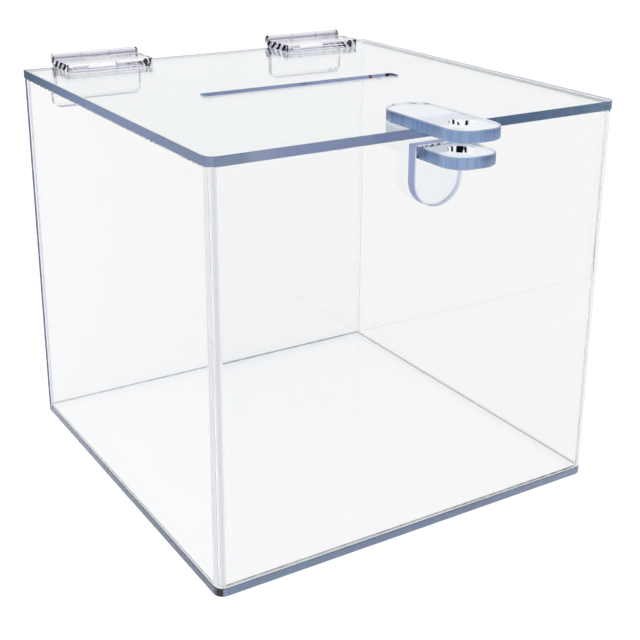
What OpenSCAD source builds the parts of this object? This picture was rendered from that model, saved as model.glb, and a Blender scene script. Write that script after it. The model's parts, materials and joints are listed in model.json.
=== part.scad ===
// Clear acrylic donation box with a hinged, slotted lid and a padlock hasp.
// The front and both sides are one sheet bent to a U. The back panel, base
// plate, hinge leaves and hasp pieces are solvent-welded on.
// Millimetres. Z is up, the hasp is on -Y, the hinges are on +Y, and the
// origin is the middle of the base's underside.

/* [Box] */
// Outside width of the box, side to side
box_w = 200; // [120:1:400]
// Outside depth of the box, front to back
box_d = 200; // [120:1:400]
// Height from the underside of the base to the top of the lid
box_h = 185; // [100:1:400]
// Thickness of the bent wall sheet and of the back panel
wall_t = 3; // [2:0.5:6]
// Thickness of the base plate
base_t = 4; // [2:0.5:8]
// Inside radius of the two heat-bent front corners
bend_r = 1.5; // [1:0.5:6]
// Radius of the back corners of the base, back panel and lid
back_r = 0.5; // [0.5:0.5:2.5]

/* [Lid] */
// Thickness of the lid
lid_t = 4; // [3:0.5:8]
// How far the lid stands out past the front and side walls
lid_overhang = 0.5; // [0:0.1:3]
// Gap between the closed lid and the rim of the walls
seat_gap = 0.3; // [0.2:0.1:1]
// Gap between the lid's back edge and the hinge leaves behind it
lid_back_gap = 0.4; // [0.3:0.1:1.5]

/* [Slot] */
// Length of the deposit slot, end to end
slot_len = 104; // [60:1:160]
// Width of the deposit slot
slot_w = 7; // [3:0.5:12]
// Radius of the slot's four corners
slot_corner_r = 1; // [0.3:0.1:1.5]

/* [Hinges] */
// Length of each hinge along its pin
hinge_w = 45; // [30:1:60]
// Distance from each side of the box to the near end of its hinge
hinge_inset = 16; // [6:0.5:60]
// Distance from the pin's axis to the far edge of a leaf
leaf_reach = 24; // [14:0.5:40]
// Thickness of a hinge leaf, which also sets the pin's height over its face
leaf_t = 3.5; // [2:0.5:6]
// Radius of a leaf's two far corners
leaf_corner_r = 4; // [1:0.5:8]
// Width of the bevel along a leaf's far edge
leaf_bevel = 2; // [0.5:0.5:3]
// Outside diameter of the hinge barrel
barrel_d = 5; // [4:0.5:8]
// Diameter of the hinge pin
pin_d = 2.4; // [1.5:0.1:3]
// Running clearance round the pin, on the radius
pin_clear = 0.05; // [0.02:0.01:0.1]
// Gap between neighbouring knuckles, and between a knuckle and a leaf
knuckle_gap = 0.2; // [0.2:0.1:1]

/* [Hasp] */
// Width of the hasp tabs and of the plate that carries the lower tab
hasp_w = 24; // [18:0.5:40]
// Thickness of the hasp sheet
hasp_t = 5; // [3:0.5:8]
// How far the upper tab stands out past the front wall
upper_out = 32.5; // [24:0.5:50]
// How far the upper tab reaches back over the lid
upper_in = 24; // [14:0.5:50]
// How far the lower tab stands out past the front wall
lower_out = 30.5; // [24:0.5:50]
// Radius of the tabs' two front corners
tab_corner_r = 9; // [2:0.5:12]
// Diameter of the padlock hole through both tabs
hole_d = 10; // [5:0.5:12]
// Distance from the front wall to the middle of the padlock hole
hole_out = 18; // [12:0.5:30]
// Height of the plate that is glued to the front wall
plate_h = 26.5; // [18:0.5:50]
// Distance from the underside of the lid down to the lower tab
hasp_drop = 1.7; // [0.3:0.1:8]

/* [Hidden] */
$fn = 96;
bend_outer_r = bend_r + wall_t;
wall_h = box_h - lid_t - seat_gap - base_t;
lid_z = box_h - lid_t;
lid_w = box_w + 2 * lid_overhang;
lid_front_y = -box_d / 2 - lid_overhang;
lid_back_y = box_d / 2 - lid_back_gap;
lid_corner_r = bend_outer_r + lid_overhang;
hinge_x = box_w / 2 - hinge_inset - hinge_w / 2;
axis_y = box_d / 2 + leaf_t;
axis_z = box_h + leaf_t;
knuckle_w = (hinge_w - 2 * knuckle_gap) / 3;
bore_r = pin_d / 2 + pin_clear;
hasp_top_z = lid_z - hasp_drop;
hole_y = -box_d / 2 - hole_out;
eps = 0.1;
acrylic = [0.80, 0.88, 0.95, 0.35];
edge_blue = [0.42, 0.56, 0.76, 0.6];

// Outline from y0 to y1, with one radius at the y0 corners and one at y1.
module rounded_outline(w, y0, y1, r0, r1) {
    polygon([[-w/2 + r0, y0], [w/2 - r0, y0], [w/2, y0 + r0], [w/2, y1 - r1],
             [w/2 - r1, y1], [-w/2 + r1, y1], [-w/2, y1 - r1], [-w/2, y0 + r0]]);
    for (side = [-1, 1]) {
        translate([side * (w/2 - r0), y0 + r0]) circle(r = r0);
        translate([side * (w/2 - r1), y1 - r1]) circle(r = r1);
    }
}

// The box's footprint: bent corners in front, small ones behind.
module footprint() {
    rounded_outline(box_w, -box_d/2, box_d/2, bend_outer_r, back_r);
}

module base_plate() {
    color(acrylic) linear_extrude(height = base_t) footprint();
}

// Front and side walls: one sheet, open at the back.
module wall_wrap() {
    inner_w = box_w - 2 * wall_t;
    back_y = box_d/2 - wall_t;
    color(acrylic) translate([0, 0, base_t])
    linear_extrude(height = wall_h) difference() {
        intersection() {
            footprint();
            translate([-box_w/2, -box_d/2]) square([box_w, back_y + box_d/2]);
        }
        rounded_outline(inner_w, -box_d/2 + wall_t, back_y + 2 * bend_r, bend_r, bend_r);
    }
}

// Back panel: covers the cut ends of the side walls.
module back_panel() {
    color(acrylic) translate([0, 0, base_t])
    linear_extrude(height = wall_h) intersection() {
        footprint();
        translate([-box_w/2, box_d/2 - wall_t]) square([box_w, wall_t]);
    }
}

module lid() {
    color(acrylic) translate([0, 0, lid_z]) difference() {
        linear_extrude(height = lid_t)
            rounded_outline(lid_w, lid_front_y, lid_back_y, lid_corner_r, back_r);
        translate([0, 0, -eps]) linear_extrude(height = lid_t + 2 * eps) {
            square([slot_len - 2 * slot_corner_r, slot_w], center = true);
            square([slot_len, slot_w - 2 * slot_corner_r], center = true);
            for (side = [-1, 1], far = [-1, 1])
                translate([side * (slot_len/2 - slot_corner_r), far * (slot_w/2 - slot_corner_r)])
                    circle(r = slot_corner_r);
        }
    }
}

// One leaf with its pin's axis on X through the origin. The leaf runs towards
// -Y, its glued face is at z = -leaf_t, and owned lists its knuckles' middles.
module leaf(owned, hole_r) {
    difference() {
        union() {
            difference() {
                translate([0, 0, -leaf_t]) linear_extrude(height = leaf_t)
                    rounded_outline(hinge_w, -leaf_reach, -leaf_t - knuckle_gap,
                                    leaf_corner_r, eps);
                translate([0, -leaf_reach, -leaf_bevel]) rotate([45, 0, 0])
                    translate([-hinge_w/2 - eps, -hinge_w, 0])
                    cube([hinge_w + 2 * eps, hinge_w + leaf_t * 2, hinge_w]);
            }
            for (x = owned) translate([x - knuckle_w/2, 0, 0]) {
                translate([0, -leaf_t - knuckle_gap - eps, -leaf_t])
                    cube([knuckle_w, leaf_t + knuckle_gap + eps, leaf_t]);
                rotate([0, 90, 0]) cylinder(d = barrel_d, h = knuckle_w);
            }
        }
        translate([-hinge_w/2 - eps, 0, 0]) rotate([0, 90, 0])
            cylinder(r = hole_r, h = hinge_w + 2 * eps);
    }
}

// Lid leaf: carries the two end knuckles, which turn on the pin.
module lid_leaf(side) {
    color(acrylic) translate([side * hinge_x, axis_y, axis_z])
        leaf([-knuckle_w - knuckle_gap, knuckle_w + knuckle_gap], bore_r);
}

// Wall leaf: carries the middle knuckle, which grips the pin.
module wall_leaf(side) {
    color(acrylic) translate([side * hinge_x, axis_y, axis_z])
        mirror([0, 1, -1]) leaf([0], pin_d / 2);
}

module hinge_pin(side) {
    color(edge_blue) translate([side * hinge_x - hinge_w/2, axis_y, axis_z])
        rotate([0, 90, 0]) cylinder(d = pin_d, h = hinge_w);
}

module hinge_left_wall_leaf() { wall_leaf(-1); }
module hinge_right_wall_leaf() { wall_leaf(1); }
module hinge_left_lid_leaf() { lid_leaf(-1); }
module hinge_right_lid_leaf() { lid_leaf(1); }
module hinge_left_pin() { hinge_pin(-1); }
module hinge_right_pin() { hinge_pin(1); }

// Padlock hole, cut through whatever lies between two heights.
module padlock_hole(z, h) {
    translate([0, hole_y, z - eps]) cylinder(d = hole_d, h = h + 2 * eps);
}

// Upper tab, glued on top of the lid.
module hasp_lid_tab() {
    color(edge_blue) difference() {
        translate([0, 0, box_h]) linear_extrude(height = hasp_t)
            rounded_outline(hasp_w, -box_d/2 - upper_out, -box_d/2 + upper_in,
                            tab_corner_r, hasp_w/2);
        padlock_hole(box_h, hasp_t);
    }
}

// Plate with a round foot, glued to the front wall.
module hasp_wall_plate() {
    color(edge_blue) translate([0, -box_d/2, hasp_top_z]) rotate([90, 0, 0])
    linear_extrude(height = hasp_t) {
        translate([-hasp_w/2, -plate_h + hasp_w/2]) square([hasp_w, plate_h - hasp_w/2]);
        translate([0, -plate_h + hasp_w/2]) circle(d = hasp_w);
    }
}

// Lower tab, glued to the plate with its top face level with the plate's top.
module hasp_wall_tab() {
    back_y = -box_d/2 - hasp_t;
    front_y = -box_d/2 - lower_out;
    color(edge_blue) difference() {
        translate([0, 0, hasp_top_z - hasp_t]) linear_extrude(height = hasp_t) {
            translate([-hasp_w/2, front_y + tab_corner_r])
                square([hasp_w, back_y - front_y - tab_corner_r]);
            translate([-hasp_w/2 + tab_corner_r, front_y])
                square([hasp_w - 2 * tab_corner_r, tab_corner_r]);
            for (side = [-1, 1])
                translate([side * (hasp_w/2 - tab_corner_r), front_y + tab_corner_r])
                    circle(r = tab_corner_r);
        }
        padlock_hole(hasp_top_z - hasp_t, hasp_t);
    }
}

base_plate();
wall_wrap();
back_panel();
lid();
hinge_left_wall_leaf();
hinge_right_wall_leaf();
hinge_left_lid_leaf();
hinge_right_lid_leaf();
hinge_left_pin();
hinge_right_pin();
hasp_lid_tab();
hasp_wall_plate();
hasp_wall_tab();
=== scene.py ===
"""Clear acrylic donation box: polished sheets, clear hinges and a padlock hasp on a pale studio floor."""
import json
import math

import bmesh
import bpy
from bpy.props import FloatProperty, FloatVectorProperty, PointerProperty, StringProperty
from mathutils import Euler, Matrix, Vector


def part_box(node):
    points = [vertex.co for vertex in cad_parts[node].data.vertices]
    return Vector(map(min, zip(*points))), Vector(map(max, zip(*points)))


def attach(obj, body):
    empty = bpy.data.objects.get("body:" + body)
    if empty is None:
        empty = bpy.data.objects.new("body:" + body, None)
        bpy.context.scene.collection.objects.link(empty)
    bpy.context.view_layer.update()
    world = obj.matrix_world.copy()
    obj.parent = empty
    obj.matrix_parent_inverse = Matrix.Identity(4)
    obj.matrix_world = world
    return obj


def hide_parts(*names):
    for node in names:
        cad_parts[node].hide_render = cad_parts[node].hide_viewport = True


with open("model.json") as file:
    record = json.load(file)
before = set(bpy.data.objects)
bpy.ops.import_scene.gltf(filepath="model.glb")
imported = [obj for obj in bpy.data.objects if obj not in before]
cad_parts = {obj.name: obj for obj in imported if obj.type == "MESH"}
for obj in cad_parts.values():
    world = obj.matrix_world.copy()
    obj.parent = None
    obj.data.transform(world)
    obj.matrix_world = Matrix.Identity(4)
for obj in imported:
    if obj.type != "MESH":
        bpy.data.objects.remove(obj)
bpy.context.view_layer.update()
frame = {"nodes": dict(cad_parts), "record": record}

bl_info = {
    "name": "Clear Acrylic Donation Box",
    "version": (1, 0, 0),
    "blender": (4, 5, 0),
    "location": "3D View > Sidebar > Donation Box",
    "description": "Finishes the solids of a clear donation box as polished acrylic",
    "category": "Object",
}

MM = 0.001
ACRYLIC_IOR = 1.49
CLEAR = "#FFFFFF"
GLUE_GAP = 0.02 * MM
# Corners that are sharper than the first angle are eased, and edges sharper than the second stay crisp
EASED_ANGLE = math.radians(35)
CRISP_ANGLE = math.radians(25)
# Middle and half length of the two near-black spots in the slot's wall, along the slot
SLOT_DARK_SPOTS = ((40 * MM, 1.0 * MM), (50 * MM, 1.6 * MM))
# Middle and half width of the two bars of painted shade in a padlock hole, from the hole's middle
HOLE_SHADE_BARS = ((-0.4 * MM, 0.6 * MM), (-3.2 * MM, 0.5 * MM))
HINGE_LEAVES = ("hinge_left_lid_leaf", "hinge_left_wall_leaf",
                "hinge_right_lid_leaf", "hinge_right_wall_leaf")
HINGE_PINS = ("hinge_left_pin", "hinge_right_pin")
HASP = ("hasp_lid_tab", "hasp_wall_plate", "hasp_wall_tab")
BODY_OF = {node: body for body, nodes in frame["record"]["behaviour"]["bodies"].items() for node in nodes}


class SheetSettings(bpy.types.PropertyGroup):
    """What the flat sheets share, and the base and the back panel."""
    run: FloatProperty(
        name="Tint run", default=0.22, min=0.01, unit="LENGTH",
        description="Path through a sheet that gives the edge tint")
    tint: StringProperty(
        name="Edge tint", default="#6184A8",
        description="sRGB colour left after the light has run the length of a sheet")
    face: StringProperty(
        name="Face", default="#F4F4F4",
        description="sRGB colour that a sheet gives the light face on")
    line: StringProperty(
        name="Saw lines", default="#B8C8DC",
        description="sRGB colour that the saw lines on a cut edge give the light")
    lines: FloatProperty(
        name="Saw line strength", default=0.35, min=0.0, max=1.0,
        description="How much the saw lines cover of a cut edge")
    satin: FloatProperty(
        name="Cut edge roughness", default=0.25, min=0.0, max=1.0,
        description="Roughness of a sawn and scraped edge")
    ease: FloatProperty(
        name="Eased edge", default=0.3 * MM, min=0.0, unit="LENGTH",
        description="Width of the flame-polished chamfer along each cut edge")
    base_tint: StringProperty(
        name="Base tint", default="#98A4B8",
        description="Edge tint of the paler sheet of the base")
    base_far: StringProperty(
        name="Base cut edge, far", default="#FFFAFF",
        description="sRGB colour that the base's cut edge gives the light at its far ends")
    base_near: StringProperty(
        name="Base cut edge, near", default="#94A8B8",
        description="The same by the front left corner")
    base_arris: StringProperty(
        name="Base arris", default="#F4F4FA",
        description="sRGB colour that the eased corners of the base give the light")
    # Painted shade: the near-black that the base's round corners turn to, after a painted highlight where
    # they go clear
    base_corner_shade: StringProperty(
        name="Base corner", default="#05060A",
        description="sRGB colour that the base's ground round corners give the light")
    # Partly edge tint and partly painted shade: the dark blue of the back's milky left edge
    back_cut_and_shade: StringProperty(
        name="Back cut edge", default="#304468",
        description="sRGB colour that the back's sawn left edge gives the light")
    back_pale: StringProperty(
        name="Back cut edge, right", default="#E4E8F0",
        description="The same at the right")


class LidSettings(bpy.types.PropertyGroup):
    """The lid's own cut edges and its slot."""
    far: StringProperty(
        name="Cut edge, far", default="#658898",
        description="sRGB colour that the lid's cut edge gives the light where it is coldest")
    near: StringProperty(
        name="Cut edge, near", default="#D8DEE8",
        description="The same by the front left corner, where it is palest")
    # Painted shade: the dark lines that the lid's arrises draw along its cut edges
    arris: StringProperty(
        name="Arris", default="#5A6480",
        description="sRGB colour that the eased corners of a cut edge give the light")
    # Partly edge tint and partly painted shade: the left edge's milky blue, darkest at the back
    left_near: StringProperty(
        name="Left edge, front", default="#8E9DB6",
        description="sRGB colour of the milky left edge at the front")
    left_middle: StringProperty(
        name="Left edge, middle", default="#909EC3",
        description="The same half way back")
    left_far: StringProperty(
        name="Left edge, back", default="#526980",
        description="The same at the back")
    right_cut: StringProperty(
        name="Right edge", default="#A1B3CC",
        description="sRGB colour of the half milky right edge")
    # Painted shade: the near-black, milky lines along the arrises of the right edge
    right_arris_shade: StringProperty(
        name="Right arris", default="#20262E",
        description="sRGB colour of the eased corners of the right edge")
    slot_wall: StringProperty(
        name="Slot wall", default="#FFDDF5",
        description="sRGB colour that the routed wall of the money slot gives the light")
    slot_end: StringProperty(
        name="Slot ends", default="#5A6698",
        description="sRGB colour of the milky ends of the slot")
    slot_dark_spot: StringProperty(
        name="Slot chips", default="#0A0A1E",
        description="sRGB colour of the chips in the slot's wall")


class WallSettings(bpy.types.PropertyGroup):
    """The sheet that the front and sides are bent from."""
    tint: StringProperty(
        name="Wall tint", default="#FCFCFE",
        description="Edge tint of the paler sheet of the walls")
    # Painted light and shade: the milky haze over the bent corners, with its paler and darker bands
    bend: StringProperty(
        name="Left bend", default="#F6F5F8",
        description="sRGB colour of the haze over the left front corner")
    bend_shade: StringProperty(
        name="Left bend, shaded", default="#DDE0E3",
        description="The same where that corner runs into the front")
    turn_front: StringProperty(
        name="Right bend, front", default="#FCFCFF",
        description="sRGB colour of the haze over the right front corner, where it runs into the front")
    turn_shade: StringProperty(
        name="Right bend, shaded", default="#D8D8E2",
        description="The same on the corner itself")
    turn_side: StringProperty(
        name="Right bend, side", default="#F6F6FA",
        description="The same where it runs into the side")
    # Painted shade: the near-black line along the right wall's rim
    rim: StringProperty(
        name="Rim", default="#20262C",
        description="sRGB colour of the right wall's scraped rim")
    haze: FloatProperty(
        name="Bend haze", default=0.1, min=0.0, max=1.0,
        description="Roughness of a heat-bent corner")


class CementSettings(bpy.types.PropertyGroup):
    """The solvent cement in the inside seams."""
    bead: FloatProperty(
        name="Cement bead", default=0.55 * MM, min=0.1 * MM, unit="LENGTH",
        description="Height of the cured cement along each inside seam")
    bend_inside: FloatProperty(
        name="Bend inside radius", default=1.5 * MM, min=0.1 * MM, unit="LENGTH",
        description="Radius of the walls' bend on the inside, which the cement follows")
    floor_tint: StringProperty(
        name="Floor cement", default="#6E6C6A",
        description="sRGB colour of the cured cement along the floor")
    left_tint: StringProperty(
        name="Left cement", default="#CCCBE2",
        description="sRGB colour of the cured cement up the left back corner")
    cloud: StringProperty(
        name="Cloudy cement", default="#E8E8EC",
        description="sRGB colour of the cement where it cured cloudy")


class HingeSettings(bpy.types.PropertyGroup):
    """The moulded hinge leaves and pins."""
    tint: StringProperty(
        name="Tint", default="#EFEEF4",
        description="sRGB colour left after the light has run the length of a leaf")
    # Painted shade: the dark lines along a leaf's long edges
    edge: StringProperty(
        name="Long edge", default="#303450",
        description="sRGB colour that the edges along a leaf give the light")
    hem: StringProperty(
        name="Lower edge", default="#8E8EAC",
        description="sRGB colour of the lower edge of a wall leaf, where cement has crept out")
    arris: StringProperty(
        name="Arris", default="#A8A6BC",
        description="sRGB colour that the corners of the outer ends give the light")
    # Painted shade: the near-black diagonal hatch over each sawn end
    marks: StringProperty(
        name="Saw marks", default="#140E2C",
        description="sRGB colour of the saw marks on an end")
    # Painted reflection: grey bands round the barrel, set by which way each place faces
    flow: StringProperty(
        name="Flow lines", default="#C2C2CC",
        description="sRGB colour that the flow lines along the barrel give the light")
    painted_reflection_faint: StringProperty(
        name="Faint flow line", default="#E6E6EE",
        description="The same for the faintest of them")
    run: FloatProperty(
        name="Tint run", default=0.045, min=0.001, unit="LENGTH",
        description="Path through the leaf that gives the tint")
    ease: FloatProperty(
        name="Moulded edge", default=0.25 * MM, min=0.0, unit="LENGTH",
        description="Width of the rounding on a moulded edge")
    pin_ease: FloatProperty(
        name="Pin edge", default=0.2 * MM, min=0.0, unit="LENGTH",
        description="Width of the rounding on a pin's ends")
    # Spacing of the painted shade's hatch lines on the ends
    hatch_left: FloatProperty(
        name="Saw mark spacing, left", default=5.5 * MM, min=MM, unit="LENGTH",
        description="Distance between the saw marks on a left end")
    hatch_right: FloatProperty(
        name="Saw mark spacing, right", default=10 * MM, min=MM, unit="LENGTH",
        description="The same on a right end")


class HaspSettings(bpy.types.PropertyGroup):
    """The laser-cut tabs and the plate that carries the lower one."""
    tint: StringProperty(
        name="Edge tint", default="#B9CBE4",
        description="sRGB colour left after the light has run across a tab")
    cut: StringProperty(
        name="Cut tint", default="#5A78A6",
        description="sRGB colour that a tab's cut edge gives the light")
    arris: StringProperty(
        name="Arris", default="#6C7C9C",
        description="sRGB colour that the eased corners of a tab give the light")
    line: StringProperty(
        name="Laser lines", default="#3A5890",
        description="sRGB colour that the darker laser lines give the light")
    lines: FloatProperty(
        name="Laser line strength", default=0.8, min=0.0, max=1.0,
        description="How much the laser lines cover of a tab's edge")
    # Painted shade: the near-black bars, flecks and dashes in a padlock hole and along a tab's back edge
    hole_shade: StringProperty(
        name="Drill marks", default="#0A0E1C",
        description="sRGB colour of the drill marks in a padlock hole")
    plate_cut: StringProperty(
        name="Plate cut tint", default="#AEB4D2",
        description="sRGB colour that the cut edge of the wall plate gives the light")
    plate_arris: StringProperty(
        name="Plate arris", default="#C6BEDC",
        description="sRGB colour that the rim of the wall plate gives the light")
    plate_lines: FloatProperty(
        name="Plate line strength", default=0.1, min=0.0, max=1.0,
        description="How much the laser lines cover of the plate's edge")
    satin: FloatProperty(
        name="Cut edge roughness", default=0.4, min=0.0, max=1.0,
        description="Roughness of a laser-cut edge")
    frost: FloatProperty(
        name="Hole roughness", default=0.6, min=0.0, max=1.0,
        description="Roughness of a drilled hole's frosted wall")
    run: FloatProperty(
        name="Tint run", default=0.05, min=0.001, unit="LENGTH",
        description="Path through the tab that gives the edge tint")
    ease: FloatProperty(
        name="Eased edge", default=0.4 * MM, min=0.0, unit="LENGTH",
        description="Width of the polished chamfer")


class StageSettings(bpy.types.PropertyGroup):
    """The camera and the floor."""
    azimuth: FloatProperty(
        name="Azimuth", default=math.radians(-31.94), subtype="ANGLE",
        description="Camera's turn round the box, from straight in front")
    elevation: FloatProperty(
        name="Elevation", default=math.radians(19.20), subtype="ANGLE",
        description="Camera's angle above the horizon")
    roll: FloatProperty(
        name="Roll", default=math.radians(0.42), subtype="ANGLE",
        description="Camera's tilt about its own axis")
    place: FloatVectorProperty(
        name="Camera place", default=(-0.2799, -0.4646, 0.2892), subtype="TRANSLATION",
        description="Where the camera stands")
    lens: FloatProperty(
        name="Lens", default=66.07,
        description="Focal length in millimetres on a 36 mm sensor")
    shift: FloatProperty(
        name="Lens shift", default=-0.1,
        description="Vertical lens shift")
    floor: StringProperty(
        name="Floor", default="#FBFBFB",
        description="sRGB colour of the floor")
    floor_lift: FloatProperty(
        name="Floor lift", default=0.15, min=0.0,
        description="White added to the floor where the eye, a reflection or the acrylic shows it")


def linear(code):
    """Linear colour from an sRGB hex code."""
    channels = [int(code[i:i + 2], 16) / 255 for i in (1, 3, 5)]
    return [c / 12.92 if c <= 0.04045 else ((c + 0.055) / 1.055) ** 2.4 for c in channels]


def add(tree, kind, settings=None, **inputs):
    """Adds a shader node. settings are its attributes. Each input is a value or a socket to link from, under
    its name, or under its number after an underscore. A Map Range takes its from and to ranges as 1 to 4."""
    node = tree.nodes.new(kind)
    for name, value in (settings or {}).items():
        setattr(node, name, value)
    for name, value in inputs.items():
        numbered = name[0] == "_"
        socket = node.inputs[int(name[1:]) if numbered else name.replace("_", " ")]
        if isinstance(value, bpy.types.NodeSocket):
            tree.links.new(value, socket)
        else:
            socket.default_value = value
    return node


def both(tree, *values):
    """Product of some values or sockets, which for masks is where they all hold."""
    product = values[0]
    for value in values[1:]:
        product = add(tree, "ShaderNodeMath", {"operation": "MULTIPLY"}, _0=product, _1=value).outputs[0]
    return product


def most(tree, *values):
    """Greatest of some values or sockets, which for masks is where any of them holds."""
    top = values[0]
    for value in values[1:]:
        top = add(tree, "ShaderNodeMath", {"operation": "MAXIMUM"}, _0=top, _1=value).outputs[0]
    return top


def blended(tree, factor, a, b):
    """Colour between a and b, each a hex code or a socket."""
    mix = add(tree, "ShaderNodeMix", {"data_type": "RGBA"}, Factor=factor)
    for socket, colour in ((mix.inputs[6], a), (mix.inputs[7], b)):
        if isinstance(colour, str):
            socket.default_value = (*linear(colour), 1)
        else:
            tree.links.new(colour, socket)
    return mix.outputs[2]


def ramp(tree, value, *stops):
    """Colour by value, from stops of a position and a hex code or a socket."""
    colour = stops[0][1]
    for (low, _), (high, hue) in zip(stops, stops[1:]):
        share = add(tree, "ShaderNodeMapRange", Value=value, _1=low, _2=high).outputs[0]
        colour = blended(tree, share, colour, hue)
    return colour


def past(tree, place, axis, start, end):
    """0 before the start of a stretch along an axis, rising to 1 past its end, which may be the lower one."""
    where = add(tree, "ShaderNodeSeparateXYZ", Vector=place.outputs["Object"]).outputs[axis]
    return add(tree, "ShaderNodeMapRange", Value=where, _1=start, _2=end).outputs[0]


def within(tree, place, axis, middle, half, soft=0.2 * MM, mirrored=False):
    """1 where the place along an axis is nearer than half to the middle, and 0 beyond. mirrored takes both
    sides of the box."""
    where = add(tree, "ShaderNodeSeparateXYZ", Vector=place.outputs["Object"]).outputs[axis]
    if mirrored:
        where = add(tree, "ShaderNodeMath", {"operation": "ABSOLUTE"}, _0=where).outputs[0]
    off = add(tree, "ShaderNodeMath", {"operation": "SUBTRACT"}, _0=where, _1=middle)
    off = add(tree, "ShaderNodeMath", {"operation": "ABSOLUTE"}, _0=off.outputs[0])
    return add(tree, "ShaderNodeMapRange", Value=off.outputs[0], _1=half + soft, _2=half - soft).outputs[0]


def from_line(tree, place, axis, point):
    """Distance from a line through a point along an axis."""
    plane = tuple(float(other != axis) for other in range(3))
    flat = add(tree, "ShaderNodeVectorMath", {"operation": "MULTIPLY"},
               _0=place.outputs["Object"], _1=plane)
    foot = tuple(length * share for length, share in zip(point, plane))
    off = add(tree, "ShaderNodeVectorMath", {"operation": "DISTANCE"}, _0=flat.outputs[0], _1=foot)
    return off.outputs["Value"]


def mottle(tree, place, size, detail=3.0, stretch=(1, 1, 1)):
    """Random spots of one size, stretched along the axes."""
    scale = tuple(1 / share for share in stretch)
    scaled = add(tree, "ShaderNodeMapping", Vector=place.outputs["Object"], Scale=scale)
    spots = add(tree, "ShaderNodeTexNoise", Vector=scaled.outputs[0], Scale=1 / size, Detail=detail)
    return spots.outputs["Fac"]


def turned(tree, place, *axes):
    """How far a face is turned into the plane of some axes, from 0 to 1."""
    plane = tuple(float(axis in axes) for axis in range(3))
    part = add(tree, "ShaderNodeVectorMath", {"operation": "MULTIPLY"},
               _0=place.outputs["Normal"], _1=plane)
    return add(tree, "ShaderNodeVectorMath", {"operation": "LENGTH"}, _0=part.outputs[0]).outputs["Value"]


def outward(tree, place):
    """The x, y and z of a face's outward normal, also where it is seen from inside the acrylic."""
    inside = add(tree, "ShaderNodeNewGeometry").outputs["Backfacing"]
    sign = add(tree, "ShaderNodeMapRange", Value=inside, _1=0.0, _2=1.0, _3=1.0, _4=-1.0).outputs[0]
    normal = add(tree, "ShaderNodeVectorMath", {"operation": "SCALE"},
                 _0=place.outputs["Normal"], Scale=sign)
    return add(tree, "ShaderNodeSeparateXYZ", Vector=normal.outputs[0]).outputs


def clear_acrylic(name, tint, run, finish):
    """Acrylic: clear face on, and tinted by the length of the path where the eye looks in at a cut edge.
    Light that only falls through it to the floor goes straight on. finish adds what its own surface does,
    and gives the base colour, the roughness, and how milky each place is, where it scatters its colour
    instead of passing light."""
    material = bpy.data.materials.new(name)
    material.use_nodes = True
    tree = material.node_tree
    tree.nodes.clear()
    depth = [-math.log(max(c, 1e-4)) / run for c in linear(tint)]
    density = max(depth)
    place = add(tree, "ShaderNodeTexCoord")
    colour, rough, milk = finish(tree, place)
    # Finger smudges, too faint to see but for the way they break up a reflection
    smudge = add(tree, "ShaderNodeMapRange", Value=mottle(tree, place, 9 * MM, 4.0),
                 _1=0.55, _2=0.8, _3=0.0, _4=0.006).outputs[0]
    rough = add(tree, "ShaderNodeMath", _0=rough, _1=smudge).outputs[0]
    # A sheet with no milky place lets all light in, set on the shader's own socket
    clear = 1.0
    if isinstance(milk, bpy.types.NodeSocket):
        clear = add(tree, "ShaderNodeMath", {"operation": "SUBTRACT"}, _0=1.0, _1=milk).outputs[0]
    # No specular level: a sawn or milky place is matt, and the clear ones keep their reflection without it
    glass = add(tree, "ShaderNodeBsdfPrincipled", Base_Color=colour, Roughness=rough, IOR=ACRYLIC_IOR,
                Transmission_Weight=clear, Specular_IOR_Level=0.0)
    lamp_light = add(tree, "ShaderNodeBsdfTransparent", Color=(1, 1, 1, 1))
    rays = add(tree, "ShaderNodeLightPath").outputs
    falling = most(tree, rays["Is Shadow Ray"], rays["Is Diffuse Ray"])
    surface = add(tree, "ShaderNodeMixShader", Fac=falling, _1=glass.outputs[0], _2=lamp_light.outputs[0])
    left = (*[1 - d / density for d in depth], 1)
    volume = add(tree, "ShaderNodeVolumeAbsorption", Color=left, Density=density)
    add(tree, "ShaderNodeOutputMaterial", Surface=surface.outputs[0], Volume=volume.outputs[0])
    return material


def sawn(tree, place, clear, far, near, line, strength):
    """Cut edges of sheet whose faces along the clear axes are polished. Gives their colour, which drifts to
    the near tint by the front left and back right corners, under fine saw lines across the thickness. With it
    come how far each place is turned to the polished faces, and the mask of everything else."""
    along = turned(tree, place, *clear)
    stretch = tuple(40.0 if axis == clear[0] else 1.0 for axis in range(3))
    off = add(tree, "ShaderNodeVectorMath", {"operation": "DOT_PRODUCT"},
              _0=place.outputs["Object"], _1=(1, -1, 0))
    off = add(tree, "ShaderNodeMath", {"operation": "ABSOLUTE"}, _0=off.outputs["Value"])
    wander = mottle(tree, place, 60 * MM, 1.0)
    off = add(tree, "ShaderNodeMath", {"operation": "MULTIPLY_ADD"},
              _0=wander, _1=60 * MM, _2=off.outputs[0])
    drift = add(tree, "ShaderNodeMapRange", Value=off.outputs[0], _1=170 * MM, _2=50 * MM).outputs[0]
    lines = add(tree, "ShaderNodeMapRange", Value=mottle(tree, place, 2.2 * MM, 2.0, stretch),
                _1=0.4, _2=0.6, _3=0.0, _4=strength).outputs[0]
    cut = blended(tree, lines, blended(tree, drift, far, near), line)
    edge = add(tree, "ShaderNodeMapRange", Value=along, _1=0.93, _2=0.85).outputs[0]
    return cut, along, edge


def sheet_colour(tree, along, cut, arris, face):
    """Colour of sheet: its cut edges, then its eased corners, and then its polished faces."""
    return ramp(tree, along, (0.45, cut), (0.55, arris), (0.85, arris), (0.93, face))


def sheet_rough(tree, along, satin):
    """Roughness of sheet: satin on its cut edges, and none on its faces."""
    return add(tree, "ShaderNodeMapRange", Value=along, _1=0.5, _2=0.9, _3=satin, _4=0.0).outputs[0]


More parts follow.
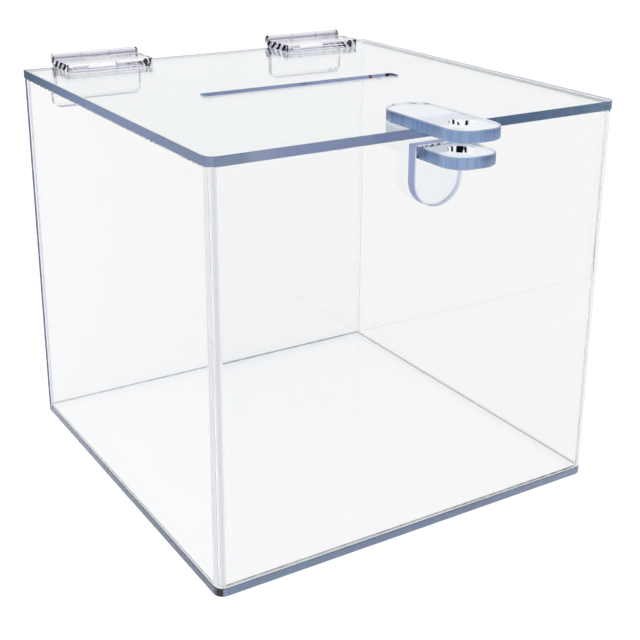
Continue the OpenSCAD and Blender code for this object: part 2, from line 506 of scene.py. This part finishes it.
def lid_finish(s, lid, side):
    """Finish of the lid: sawn edges with painted dark lines along their arrises, of which the right one is
    half milky with near-black arrises, and the left one more so towards the back, its milky blue partly edge
    tint and partly painted shade; and a routed slot with milky ends and two near-black spots. side is the x
    of the right edge."""
    def finish(tree, place):
        cut, along, edge = sawn(tree, place, (2,), lid.far, lid.near, s.line, s.lines)
        routed = both(tree, within(tree, place, 0, 0.0, 60 * MM), within(tree, place, 1, 0.0, 6 * MM))
        round_end = add(tree, "ShaderNodeMapRange", Value=turned(tree, place, 0), _1=0.5, _2=0.8).outputs[0]
        ends = both(tree, routed, round_end, edge)
        # Two near-black, fully milky spots in the slot's wall
        dark_spots = [within(tree, place, 0, middle, half, 0.8 * MM) for middle, half in SLOT_DARK_SPOTS]
        dark_spots = both(tree, most(tree, *dark_spots), routed, edge)
        right = both(tree, past(tree, place, 0, side - 0.8 * MM, side - 0.4 * MM), edge)
        left = both(tree, past(tree, place, 0, -side + 32 * MM, -side), edge)
        back = add(tree, "ShaderNodeSeparateXYZ", Vector=place.outputs["Object"]).outputs[1]
        left_cut = ramp(tree, back, (-100 * MM, lid.left_near), (0.0, lid.left_middle),
                        (90 * MM, lid.left_far))
        for mask, tint in ((routed, lid.slot_wall), (ends, lid.slot_end), (dark_spots, lid.slot_dark_spot),
                           (right, lid.right_cut), (left, left_cut)):
            cut = blended(tree, mask, cut, tint)
        # Painted shade: dark lines along the arrises, near-black on the right edge
        arris = blended(tree, right, lid.arris, lid.right_arris_shade)
        eased = add(tree, "ShaderNodeMapRange", Value=along, _1=0.45, _2=0.55).outputs[0]
        # The left edge's milky blue is partly edge tint and partly painted shade, and grows milkier towards
        # the back
        left_milk = add(tree, "ShaderNodeMapRange", Value=back,
                        _1=0.0, _2=90 * MM, _3=0.6, _4=0.95).outputs[0]
        milk = most(tree, dark_spots, both(tree, ends, 0.8), both(tree, right, 0.5), both(tree, right, eased),
                    both(tree, left, left_milk))
        return sheet_colour(tree, along, cut, arris, s.face), sheet_rough(tree, along, s.satin), milk
    return finish


def base_finish(s):
    """Finish of the base: sawn edges, and ground round corners on which a painted highlight gives way to
    painted shade.
    """
    def finish(tree, place):
        cut, along, _ = sawn(tree, place, (2,), s.base_far, s.base_near, s.line, s.lines)
        # Painted highlight and painted shade on the round corners: clear where they leave the flat edge, then
        # near-black
        across = both(tree, turned(tree, place, 0), turned(tree, place, 1))
        bright = add(tree, "ShaderNodeMapRange", Value=across, _1=0.05, _2=0.15).outputs[0]
        dark = add(tree, "ShaderNodeMapRange", Value=across, _1=0.36, _2=0.42).outputs[0]
        cut = blended(tree, dark, blended(tree, bright, cut, CLEAR), s.base_corner_shade)
        colour = sheet_colour(tree, along, cut, s.base_arris, CLEAR)
        return colour, sheet_rough(tree, along, s.satin), 0.0
    return finish


def back_finish(s):
    """Finish of the back panel: two sawn upright edges, the left one half milky, its dark blue partly edge
    tint and partly painted shade, and the right one pale.
    """
    def finish(tree, place):
        # The left edge's dark blue is partly edge tint and partly painted shade
        cut, along, edge = sawn(tree, place, (1, 2), s.back_cut_and_shade, s.back_cut_and_shade, s.line, s.lines)
        right = past(tree, place, 0, -MM, MM)
        cut = blended(tree, right, cut, s.back_pale)
        arris = blended(tree, right, s.back_cut_and_shade, s.back_pale)
        milk = add(tree, "ShaderNodeMapRange", Value=right, _1=0.0, _2=1.0, _3=0.5, _4=0.0).outputs[0]
        milk = both(tree, milk, edge)
        return sheet_colour(tree, along, cut, arris, s.face), sheet_rough(tree, along, s.satin), milk
    return finish


def bend_finish(face, wall, corner):
    """Finish of the walls: clear, with a soft white haze of painted light and shade over each heat-bent
    corner. The left corner has a painted highlight, a clear streak, down it and painted shade beside that,
    the right one cloudier painted shade. The right wall's rim carries a painted dark line. corner is the
    walls' own far upper corner."""
    def finish(tree, place):
        front = turned(tree, place, 1)
        across = both(tree, turned(tree, place, 0), front)
        bent = add(tree, "ShaderNodeMapRange", Value=across, _1=0.02, _2=0.2).outputs[0]
        left = past(tree, place, 0, MM, -MM)
        right = past(tree, place, 0, -MM, MM)
        # Painted shade and a painted highlight on the left corner: a darker band where it runs into the
        # front, and a clear streak
        shade = both(tree, left, add(tree, "ShaderNodeMapRange", Value=front, _1=0.72, _2=0.78).outputs[0],
                     add(tree, "ShaderNodeMapRange", Value=front, _1=0.99, _2=0.97).outputs[0])
        gleam = both(tree, left, add(tree, "ShaderNodeMapRange", Value=front, _1=0.58, _2=0.62).outputs[0],
                     add(tree, "ShaderNodeMapRange", Value=front, _1=0.74, _2=0.70).outputs[0])
        # Painted shade on the right corner: paler and darker bands by which way each place faces
        right_painted_shading = ramp(tree, front, (0.48, wall.turn_side), (0.60, wall.turn_shade),
                          (0.80, wall.turn_shade), (0.97, wall.turn_front))
        haze = blended(tree, shade, blended(tree, left, right_painted_shading, wall.bend), wall.bend_shade)
        # Painted shade: a near-black, milky line along the right wall's rim
        rim = both(tree, past(tree, place, 0, corner.x - 3.4 * MM, corner.x - 3.0 * MM),
                   past(tree, place, 2, corner.z - 0.8 * MM, corner.z - 0.4 * MM))
        colour = blended(tree, rim, blended(tree, bent, face, haze), wall.rim)
        # The milky haze that carries this painted light and shade
        cloud = add(tree, "ShaderNodeMapRange", Value=front,
                    _1=0.48, _2=0.60, _3=0.45, _4=0.88).outputs[0]
        cloud = most(tree, both(tree, cloud, right), both(tree, left, 0.5))
        dull = add(tree, "ShaderNodeMath", {"operation": "SUBTRACT"}, _0=1.0, _1=gleam).outputs[0]
        cloud = both(tree, bent, cloud, dull)
        return colour, both(tree, bent, wall.haze), most(tree, cloud, both(tree, rim, 0.9))
    return finish


def hinge_finish(s, span, axis, barrel, hem):
    """Finish of moulded hinge parts: clear, with faint bands of painted reflection round the barrel, painted
    dark lines along the long edges, and at the two outer ends dark arrises round a saw cut hatched diagonally
    with painted shade. span is the middle and half the length of a hinge along its pin, axis a point on the
    pin's axis, barrel the barrel's radius, and hem the height of a wall leaf's lower edge."""
    def finish(tree, place):
        along = turned(tree, place, 0)
        inner = within(tree, place, 0, span[0], span[1] - 0.6 * MM, 0.1 * MM, True)
        outer = add(tree, "ShaderNodeMath", {"operation": "SUBTRACT"}, _0=1.0, _1=inner).outputs[0]
        # A diagonal wave is 0.628 long at scale 1. The right ends are hatched coarser, and with more painted
        # shade.
        facing = outward(tree, place)[0]
        spacing = add(tree, "ShaderNodeMapRange", Value=facing, _1=-1.0, _2=1.0,
                      _3=0.628 / s.hatch_left, _4=0.628 / s.hatch_right).outputs[0]
        hatch = add(tree, "ShaderNodeTexWave", {"bands_direction": "DIAGONAL"},
                    Vector=place.outputs["Object"], Scale=spacing, Distortion=1.5, Detail=1.0)
        low = add(tree, "ShaderNodeMapRange", Value=facing, _1=-1.0, _2=1.0, _3=0.5, _4=0.3).outputs[0]
        high = add(tree, "ShaderNodeMath", _0=low, _1=0.1).outputs[0]
        dark = add(tree, "ShaderNodeMapRange", Value=hatch.outputs["Fac"], _1=low, _2=high).outputs[0]
        # Painted reflection: grey bands round the barrel by how far each place faces up or down
        up = add(tree, "ShaderNodeSeparateXYZ", Vector=place.outputs["Normal"]).outputs[2]
        flow = ramp(tree, up, (-0.7, s.flow), (-0.4, CLEAR), (0.0, CLEAR), (0.15, s.flow),
                    (0.6, s.painted_reflection_faint), (0.8, CLEAR), (0.9, CLEAR), (0.97, s.flow))
        # Painted shade: dark lines along the leaf's long edges, on the eased corners between its faces
        eased = both(tree, turned(tree, place, 1), turned(tree, place, 2))
        leaf = ramp(tree, eased, (0.1, CLEAR), (0.2, s.edge), (0.4, s.edge), (0.46, CLEAR))
        off = from_line(tree, place, 0, axis)
        on_barrel = add(tree, "ShaderNodeMapRange", Value=off,
                        _1=barrel + 0.15 * MM, _2=barrel + 0.05 * MM).outputs[0]
        body = blended(tree, on_barrel, leaf, flow)
        # Painted shade: the near-black diagonal hatch over each sawn end
        sawn_end = blended(tree, dark, CLEAR, s.marks)
        end = ramp(tree, along, (0.3, body), (0.4, s.arris), (0.8, s.arris), (0.95, sawn_end))
        lower = within(tree, place, 2, hem, 0.8 * MM)
        colour = blended(tree, lower, blended(tree, outer, body, end), s.hem)
        flat_end = add(tree, "ShaderNodeMapRange", Value=along, _1=0.85, _2=0.95).outputs[0]
        hatch_shade = both(tree, outer, dark, flat_end)
        return colour, 0.0, most(tree, hatch_shade, both(tree, lower, 0.7))
    return finish


def tab_finish(s, hole):
    """Finish of a hasp tab: laser-cut edges with upright lines, a milky white underside that is painted
    light, and a drilled hole whose wall is frosted, with painted shade in two dark bars and some flecks on
    its far side. The tab's back edge has fine dashes of painted shade. hole is the hole's middle and radius."""
    middle, radius = hole

    def finish(tree, place):
        cut, along, edge = sawn(tree, place, (2,), s.cut, s.cut, s.line, s.lines)
        off = from_line(tree, place, 2, middle)
        near_hole = add(tree, "ShaderNodeMapRange", Value=off,
                        _1=radius + 0.7 * MM, _2=radius + 0.5 * MM).outputs[0]
        drilled = both(tree, near_hole, edge)
        normal = outward(tree, place)
        # Painted light: a milky white underside that lightens what shows through the tab
        under = add(tree, "ShaderNodeMapRange", Value=normal[2], _1=-0.85, _2=-0.95).outputs[0]
        # Painted shade: near-black flecks and two bars on the hole's far side
        flecks = add(tree, "ShaderNodeMapRange", Value=mottle(tree, place, 2.4 * MM, 1.0, (1, 1, 4)),
                     _1=0.44, _2=0.48).outputs[0]
        flecks = both(tree, flecks, within(tree, place, 0, middle.x + 3 * MM, 1.6 * MM))
        bars = [within(tree, place, 0, middle.x + shift, half) for shift, half in HOLE_SHADE_BARS]
        far_side = within(tree, place, 1, middle.y + 6 * MM, 4.5 * MM, 0.5 * MM)
        marks = both(tree, most(tree, flecks, *bars), far_side, drilled)
        back = add(tree, "ShaderNodeMapRange", Value=normal[1], _1=0.3, _2=0.5).outputs[0]
        undrilled = add(tree, "ShaderNodeMath", {"operation": "SUBTRACT"}, _0=1.0, _1=drilled).outputs[0]
        # Painted shade: fine dark dashes along the tab's back edge
        dashes = add(tree, "ShaderNodeMapRange", Value=mottle(tree, place, 1.8 * MM, 1.0, (1, 1, 3)),
                     _1=0.56, _2=0.6).outputs[0]
        marks = most(tree, marks, both(tree, dashes, back, undrilled))
        colour = sheet_colour(tree, along, cut, s.arris, CLEAR)
        colour = blended(tree, marks, blended(tree, most(tree, drilled, under), colour, CLEAR), s.hole_shade)
        rough = add(tree, "ShaderNodeMapRange", Value=drilled, _1=0.0, _2=1.0,
                    _3=sheet_rough(tree, along, s.satin), _4=s.frost).outputs[0]
        return colour, rough, most(tree, drilled, marks, both(tree, under, 0.7))
    return finish


def plate_finish(s):
    """Finish of the plate on the front wall: a laser-cut edge with faint lines."""
    def finish(tree, place):
        cut, along, _ = sawn(tree, place, (1,), s.plate_cut, s.plate_cut, s.cut, s.plate_lines)
        colour = sheet_colour(tree, along, cut, s.plate_arris, CLEAR)
        return colour, sheet_rough(tree, along, s.satin), 0.0
    return finish


def linked(name, mesh, material):
    """A new object of a mesh, with its material, in the scene."""
    mesh.materials.append(material)
    piece = bpy.data.objects.new(name, mesh)
    bpy.context.collection.objects.link(piece)
    return piece


def polished_copy(node, material, ease, span=None):
    """A copy of a solid with its triangles merged, its cut edges eased and its curves smooth. span is the
    middle and half the length of a hinge, whose edges across the pin are eased only at the two outer ends."""
    bm = bmesh.new()
    bm.from_mesh(frame["nodes"][node].data)
    bmesh.ops.remove_doubles(bm, verts=bm.verts, dist=0.002 * MM)
    bmesh.ops.dissolve_limit(bm, angle_limit=math.radians(0.3), verts=bm.verts, edges=bm.edges)
    bmesh.ops.recalc_face_normals(bm, faces=bm.faces)
    # Each piece stands a hair clear of its neighbours, as two faces in one place would flicker
    for vert, inward in [(v, -v.calc_shell_factor() * v.normal) for v in bm.verts]:
        vert.co += inward * GLUE_GAP
    sharp = [e for e in bm.edges if len(e.link_faces) == 2 and e.calc_face_angle(0) > EASED_ANGLE]
    if span:
        middle, half = span
        outer = [all(abs(abs(v.co.x) - middle) > half - 0.5 * MM for v in e.verts) for e in sharp]
        along = [abs(e.verts[0].co.x - e.verts[1].co.x) > MM for e in sharp]
        sharp = [e for e, at_end, lengthwise in zip(sharp, outer, along) if at_end or lengthwise]
    if ease > 0:
        bmesh.ops.bevel(bm, geom=sharp, offset=ease, offset_type="OFFSET", segments=1, profile=0.5,
                        affect="EDGES", material=-1, clamp_overlap=True)
    for face in bm.faces:
        face.smooth = True
    for edge in bm.edges:
        edge.smooth = not (len(edge.link_faces) == 2 and edge.calc_face_angle(0) > CRISP_ANGLE)
    mesh = bpy.data.meshes.new(node + "_polished")
    bm.to_mesh(mesh)
    bm.free()
    piece = linked(node + "_polished", mesh, material)
    evener = piece.modifiers.new("Even normals", "WEIGHTED_NORMAL")
    evener.keep_sharp = True
    evener.weight = 100
    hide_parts(node)
    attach(piece, BODY_OF[node])


def hole_of(mount):
    """Middle and radius of a padlock hole."""
    hole = next(m for m in frame["record"]["mounts"] if m["name"] == mount)
    return Vector(hole["pos_m"]), hole["dims"]["r_mm"] * MM


def cement(name, tint, cloud, clear):
    """Cured solvent cement: the same acrylic, faintly cloudy, so a seam reads as a fine grey line."""
    material = bpy.data.materials.new(name)
    material.use_nodes = True
    tree = material.node_tree
    shader = tree.nodes["Principled BSDF"]
    shader.inputs["IOR"].default_value = ACRYLIC_IOR
    shader.inputs["Transmission Weight"].default_value = clear
    place = add(tree, "ShaderNodeTexCoord")
    cloudy = add(tree, "ShaderNodeMapRange", Value=mottle(tree, place, 6 * MM, 2.0),
                 _1=0.35, _2=0.65).outputs[0]
    rough = add(tree, "ShaderNodeMapRange", Value=cloudy, _1=0.0, _2=1.0, _3=0.15, _4=0.35).outputs[0]
    tree.links.new(blended(tree, both(tree, cloudy, 0.25), tint, cloud), shader.inputs["Base Color"])
    tree.links.new(rough, shader.inputs["Roughness"])
    return material


def seam(name, bm, material):
    """Makes a bead of cement from a bmesh, a hair clear of the sheets it joins."""
    bmesh.ops.recalc_face_normals(bm, faces=bm.faces)
    mesh = bpy.data.meshes.new(name)
    bm.to_mesh(mesh)
    bm.free()
    bead = linked(name, mesh, material)
    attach(bead, "box")


def lift(bm, geometry, height):
    """Moves the vertices of what an extrusion made up by a height."""
    verts = [v for v in geometry if isinstance(v, bmesh.types.BMVert)]
    bmesh.ops.translate(bm, verts=verts, vec=(0, 0, height))


def floor_bead(side, front, back, floor, bend, bead):
    """Bmesh of a three-cornered bead round the floor's edge, which follows the bends in front."""
    bm = bmesh.new()
    bmesh.ops.create_grid(bm, x_segments=1, y_segments=1, size=1.0)
    bmesh.ops.scale(bm, verts=bm.verts, vec=(side, (back - front) / 2, 1))
    bmesh.ops.translate(bm, verts=bm.verts, vec=(0, (back + front) / 2, floor))
    corners = [v for v in bm.verts if v.co.y < 0]
    bmesh.ops.bevel(bm, geom=corners, offset=bend, offset_type="OFFSET", segments=6, profile=0.5,
                    affect="VERTICES", material=-1)
    outline = list(bm.edges)
    bmesh.ops.inset_region(bm, faces=bm.faces, thickness=bead, use_even_offset=True)
    middle = max(bm.faces, key=lambda face: face.calc_area())
    inside = list(middle.edges)
    bmesh.ops.delete(bm, geom=[middle], context="FACES_ONLY")
    raised = bmesh.ops.extrude_edge_only(bm, edges=outline)["geom"]
    lift(bm, raised, bead)
    top = [e for e in raised if isinstance(e, bmesh.types.BMEdge) and e.is_boundary]
    bmesh.ops.bridge_loops(bm, edges=inside + top)
    return bm


def corner_bead(foot, inward, leg, height):
    """Bmesh of a three-cornered bead up a back corner, from the corner's foot. inward is 1 or -1, towards
    the middle of the box, and leg is how far the bead reaches along each sheet."""
    bm = bmesh.new()
    points = (foot, foot + Vector((inward * leg, 0, 0)), foot + Vector((0, -leg, 0)))
    section = bm.faces.new([bm.verts.new(point) for point in points])
    lift(bm, bmesh.ops.extrude_face_region(bm, geom=[section])["geom"], height)
    return bm


class DONATION_OT_sheets(bpy.types.Operator):
    """Finishes the base, walls, back and lid as polished cast sheet"""
    bl_idname = "donation.sheets"
    bl_label = "Acrylic Sheets"

    def execute(self, context):
        scene = context.scene
        s, lid, wall = scene.donation_sheets, scene.donation_lid, scene.donation_walls
        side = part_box("lid")[1].x
        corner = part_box("wall_wrap")[1]
        sheets = {
            # Cast acrylic, sawn and flame-polished: clear faces round blue-grey edges
            "base_plate": clear_acrylic("Cast base sheet", s.base_tint, s.run, base_finish(s)),
            "lid": clear_acrylic("Cast lid sheet", s.tint, s.run, lid_finish(s, lid, side)),
            "back_panel": clear_acrylic("Cast back sheet", s.tint, s.run, back_finish(s)),
            # Heat-bent acrylic: almost colourless, with a haze of painted light and shade over its corners
            "wall_wrap": clear_acrylic("Bent sheet", wall.tint, s.run, bend_finish(s.face, wall, corner)),
        }
        for node, material in sheets.items():
            polished_copy(node, material, s.ease)
        return {"FINISHED"}


class DONATION_OT_seams(bpy.types.Operator):
    """Runs a bead of cement round the floor inside and up the two back corners"""
    bl_idname = "donation.seams"
    bl_label = "Cement Seams"

    def execute(self, context):
        s = context.scene.donation_cement
        wall_low, wall_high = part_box("wall_wrap")
        back_low, back_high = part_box("back_panel")
        thick = back_high.y - back_low.y + GLUE_GAP
        side, front, back = wall_high.x - thick, wall_low.y + thick, back_low.y - GLUE_GAP
        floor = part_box("base_plate")[1].z + GLUE_GAP
        ring = floor_bead(side, front, back, floor, s.bend_inside, s.bead)
        seam("floor_seam", ring, cement("Cured cement, floor", s.floor_tint, s.cloud, 0.3))
        # The left bead is thick and half clear, and the right one a clean hairline
        uprights = (("left", -1, 1.4 * s.bead, s.left_tint, 0.5), ("right", 1, 0.4 * s.bead, CLEAR, 1.0))
        for name, hand, leg, tint, clear in uprights:
            foot = Vector((hand * side, back, floor + s.bead))
            bead = corner_bead(foot, -hand, leg, wall_high.z - floor - MM)
            seam(f"{name}_back_seam", bead, cement(f"Cured cement, {name}", tint, s.cloud, clear))
        return {"FINISHED"}


class DONATION_OT_hinges(bpy.types.Operator):
    """Finishes the hinge leaves and pins as moulded acrylic"""
    bl_idname = "donation.hinges"
    bl_label = "Hinges"

    def execute(self, context):
        s = context.scene.donation_hinges
        near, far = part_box("hinge_right_pin")
        axis = (near + far) / 2
        span = (axis.x, far.x - axis.x)
        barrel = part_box("hinge_right_lid_leaf")[1].z - axis.z
        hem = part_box("hinge_left_wall_leaf")[0].z
        # Moulded acrylic, sawn to length: glassy, with painted shade hatched over the ends
        finish = hinge_finish(s, span, axis, barrel, hem)
        moulded = clear_acrylic("Moulded acrylic", s.tint, s.run, finish)
        for node in HINGE_LEAVES:
            polished_copy(node, moulded, s.ease, span)
        for node in HINGE_PINS:
            polished_copy(node, moulded, s.pin_ease)
        return {"FINISHED"}


class DONATION_OT_hasp(bpy.types.Operator):
    """Finishes the hasp tabs and their plate as polished thick sheet"""
    bl_idname = "donation.hasp"
    bl_label = "Padlock Hasp"

    def execute(self, context):
        s = context.scene.donation_hasp
        # Laser-cut acrylic: clear faces, and edges with fine upright lines
        tab = clear_acrylic("Laser-cut tab", s.tint, s.run, tab_finish(s, hole_of("lid_tab_hole")))
        plate = clear_acrylic("Laser-cut plate", s.tint, s.run, plate_finish(s))
        for node, material in zip(HASP, (tab, plate, tab)):
            polished_copy(node, material, s.ease)
        return {"FINISHED"}


def white_floor(s):
    """A matt white floor, a little whiter where the eye, a reflection or the acrylic shows it."""
    bm = bmesh.new()
    bmesh.ops.create_grid(bm, x_segments=1, y_segments=1, size=6.0)
    mesh = bpy.data.meshes.new("floor")
    bm.to_mesh(mesh)
    bm.free()
    material = bpy.data.materials.new("Matt white floor")
    material.use_nodes = True
    tree = material.node_tree
    shader = tree.nodes["Principled BSDF"]
    shader.inputs["Base Color"].default_value = (*linear(s.floor), 1)
    shader.inputs["Roughness"].default_value = 0.9
    shader.inputs["Specular IOR Level"].default_value = 0.1
    shader.inputs["Emission Color"].default_value = (1, 1, 1, 1)
    rays = add(tree, "ShaderNodeLightPath").outputs
    seen = most(tree, rays["Is Camera Ray"], rays["Is Glossy Ray"], rays["Is Transmission Ray"])
    tree.links.new(both(tree, seen, s.floor_lift), shader.inputs["Emission Strength"])
    material.cycles.emission_sampling = "NONE"
    linked("floor", mesh, material)


def white_surround(scene):
    """Plain white from every side, which is all the light there is."""
    world = bpy.data.worlds.new("White surround")
    scene.world = world
    world.use_nodes = True
    tree = world.node_tree
    tree.nodes.clear()
    sky = add(tree, "ShaderNodeBackground", Color=(1, 1, 1, 1), Strength=1.0)
    add(tree, "ShaderNodeOutputWorld", Surface=sky.outputs[0])


def studio_camera(scene, s):
    """The camera, which looks down on the box over its left front corner."""
    camera = bpy.data.cameras.new("camera")
    camera.lens, camera.sensor_width, camera.shift_y = s.lens, 36.0, s.shift
    camera.clip_start, camera.clip_end = 0.01, 50.0
    eye = bpy.data.objects.new("camera", camera)
    scene.collection.objects.link(eye)
    turn = Euler((math.pi / 2 - s.elevation, 0, s.azimuth)).to_matrix().to_4x4()
    eye.matrix_world = Matrix.Translation(Vector(s.place)) @ turn @ Matrix.Rotation(s.roll, 4, "Z")
    scene.camera = eye


class DONATION_OT_stage(bpy.types.Operator):
    """Builds the floor, white surround and camera"""
    bl_idname = "donation.stage"
    bl_label = "Stage"

    def execute(self, context):
        scene = context.scene
        white_floor(scene.donation_stage)
        white_surround(scene)
        studio_camera(scene, scene.donation_stage)
        scene.view_settings.view_transform = "Standard"
        # Light turns back inside clear sheet many times before it finds a way out
        scene.cycles.blur_glossy = 0.0
        scene.cycles.max_bounces = 256
        scene.cycles.transmission_bounces = 256
        scene.cycles.glossy_bounces = 256
        scene.cycles.transparent_max_bounces = 24
        return {"FINISHED"}


class DONATION_PT_panel(bpy.types.Panel):
    bl_label = "Donation Box"
    bl_idname = "DONATION_PT_panel"
    bl_space_type = "VIEW_3D"
    bl_region_type = "UI"
    bl_category = "Donation Box"

    def draw(self, context):
        for operator in OPERATORS:
            self.layout.operator(operator.bl_idname)


SETTINGS = {
    "donation_sheets": SheetSettings,
    "donation_lid": LidSettings,
    "donation_walls": WallSettings,
    "donation_cement": CementSettings,
    "donation_hinges": HingeSettings,
    "donation_hasp": HaspSettings,
    "donation_stage": StageSettings,
}
OPERATORS = (DONATION_OT_sheets, DONATION_OT_seams, DONATION_OT_hinges, DONATION_OT_hasp, DONATION_OT_stage)


def register():
    for cls in (*SETTINGS.values(), *OPERATORS, DONATION_PT_panel):
        bpy.utils.register_class(cls)
    for name, cls in SETTINGS.items():
        setattr(bpy.types.Scene, name, PointerProperty(type=cls))


def unregister():
    for name in SETTINGS:
        delattr(bpy.types.Scene, name)
    for cls in reversed((*SETTINGS.values(), *OPERATORS, DONATION_PT_panel)):
        bpy.utils.unregister_class(cls)


def main():
    register()
    bpy.ops.donation.sheets()
    bpy.ops.donation.seams()
    bpy.ops.donation.hinges()
    bpy.ops.donation.hasp()
    bpy.ops.donation.stage()


if __name__ == "__main__":
    main()
